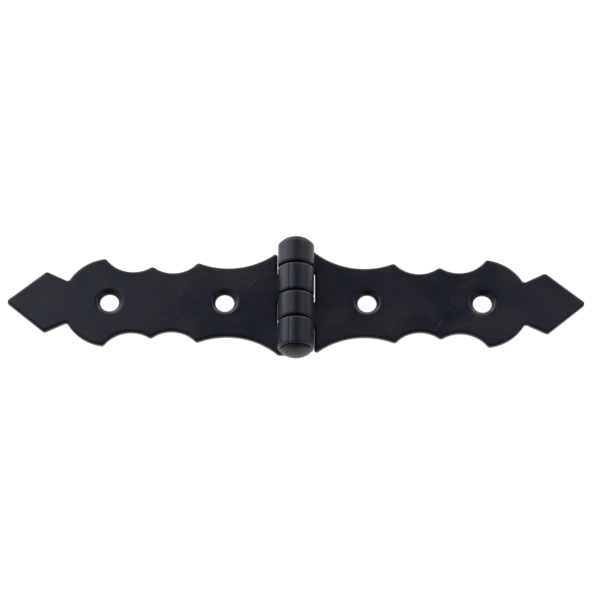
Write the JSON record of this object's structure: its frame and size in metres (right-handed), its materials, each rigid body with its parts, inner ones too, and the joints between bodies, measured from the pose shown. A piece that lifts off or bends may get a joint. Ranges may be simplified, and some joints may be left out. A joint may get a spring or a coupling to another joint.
{
  "type": "strap hinge",
  "caption": "Ornamental black strap hinge: two scalloped steel leaves with spear points, rolled round a pin with domed heads, with countersunk screw holes.",
  "frame": {"origin": "under the middle of the pin, on the plane of the leaves' backs", "axes": "+X along the leaves to the right one's tip, +Y along the pin, +Z out of the leaves' front faces, on the side the barrel stands on"},
  "size_m": [0.15, 0.0336, 0.0094],
  "materials": {
    "leaf_paint": "semi-gloss black paint with a cool tint on stamped steel sheet",
    "pin_paint": "semi-gloss black paint on the riveted pin"
  },
  "bodies": {
    "left_leaf": {"leaf_left": "leaf_paint", "hinge_pin": "pin_paint"},
    "right_leaf": {"leaf_right": "leaf_paint"}
  },
  "joints": [
    {"name": "leaf_fold", "type": "hinge", "parent": "left_leaf", "child": "right_leaf", "pos_m": [0, 0, 0.0047], "axis": [0, -1, 0], "range_deg": [-88, 180]}
  ]
}
